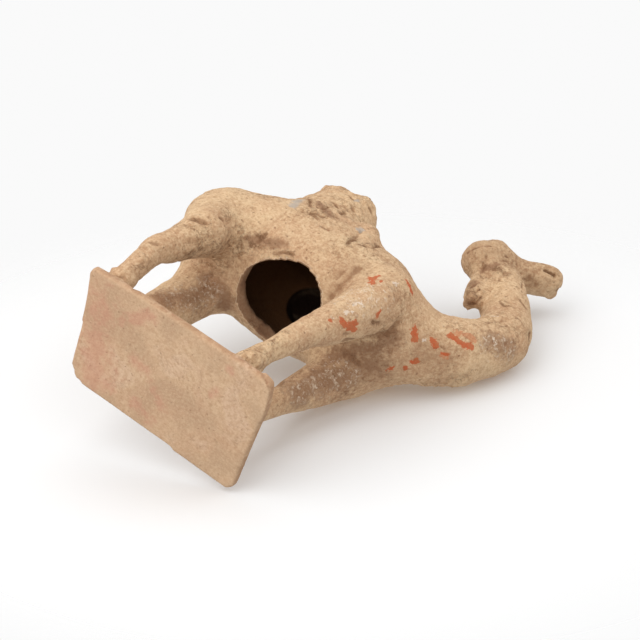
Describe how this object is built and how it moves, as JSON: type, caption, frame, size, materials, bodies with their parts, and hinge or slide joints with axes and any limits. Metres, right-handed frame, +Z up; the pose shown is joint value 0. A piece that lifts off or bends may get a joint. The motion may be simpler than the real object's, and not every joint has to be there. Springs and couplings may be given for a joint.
{
  "type": "pottery camel figure",
  "caption": "Hollow hand-built pottery camel on a thin slab, head thrown back, two blunt humps, with a round opening under the belly and traces of red pigment.",
  "frame": {"origin": "middle of the slab's underside", "axes": "+X the way the camel faces, +Y its left, +Z up"},
  "size_m": [0.307, 0.1206, 0.4453],
  "materials": {
    "pottery": "unglazed, dusty and worn, with earth stains and patches of red pigment"
  },
  "bodies": {
    "root": {"camel_figure": "pottery", "base_slab": "pottery"}
  },
  "joints": []
}
